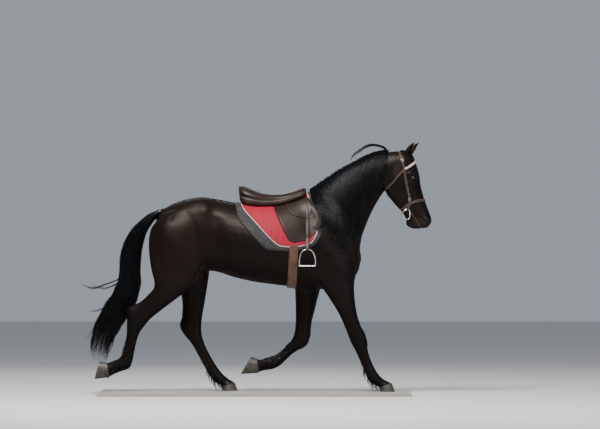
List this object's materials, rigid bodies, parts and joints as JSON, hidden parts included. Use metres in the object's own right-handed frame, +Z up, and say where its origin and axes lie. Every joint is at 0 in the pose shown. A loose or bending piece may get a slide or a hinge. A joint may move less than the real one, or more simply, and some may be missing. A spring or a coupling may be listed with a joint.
{
  "type": "friesian horse",
  "caption": "Life-size still Friesian horse at the trot with saddle, quilted pad, girth, stirrups, bridle and bit, on a flat display base",
  "frame": {"origin": "middle of the flat base's underside, which is also the middle of the whole model's length and width", "axes": "+X from tail to nose, +Y to the horse's left, +Z up"},
  "size_m": [2.8248, 0.84, 2.022],
  "materials": {
    "coat": "short glossy near-black brown coat",
    "hair": "long black wavy hair",
    "hoof": "dark grey horn",
    "eye": "wet dark brown",
    "leather": "brown leather, lightly polished",
    "pad": "crimson quilted cloth",
    "girth": "brown leather",
    "iron": "polished steel",
    "band": "light beige leather",
    "base": "satin grey painted board"
  },
  "bodies": {
    "root": {"torso": "coat", "neck": "coat", "head": "coat", "fore_right_forearm": "coat", "fore_right_cannon": "coat", "fore_left_forearm": "coat", "fore_left_cannon": "coat", "hind_right_gaskin": "coat", "hind_right_cannon": "coat", "hind_left_gaskin": "coat", "hind_left_cannon": "coat", "ear_right": "coat", "ear_left": "coat", "eye_right": "eye", "eye_left": "eye", "tail": "hair", "tail_lower": "hair", "tail_wisp": "hair", "hoof_fore_right": "hoof", "hoof_fore_left": "hoof", "hoof_hind_right": "hoof", "hoof_hind_left": "hoof", "saddle_pad": "pad", "saddle_seat": "leather", "saddle_flap_right": "leather", "saddle_flap_left": "leather", "girth": "girth", "stirrup_leather_right": "leather", "stirrup_leather_left": "leather", "stirrup_iron_right": "iron", "stirrup_iron_left": "iron", "bridle_headpiece": "leather", "bridle_browband": "band", "bridle_noseband": "leather", "bridle_throatlash": "leather", "bit": "iron", "stand_base": "base"}
  },
  "joints": []
}
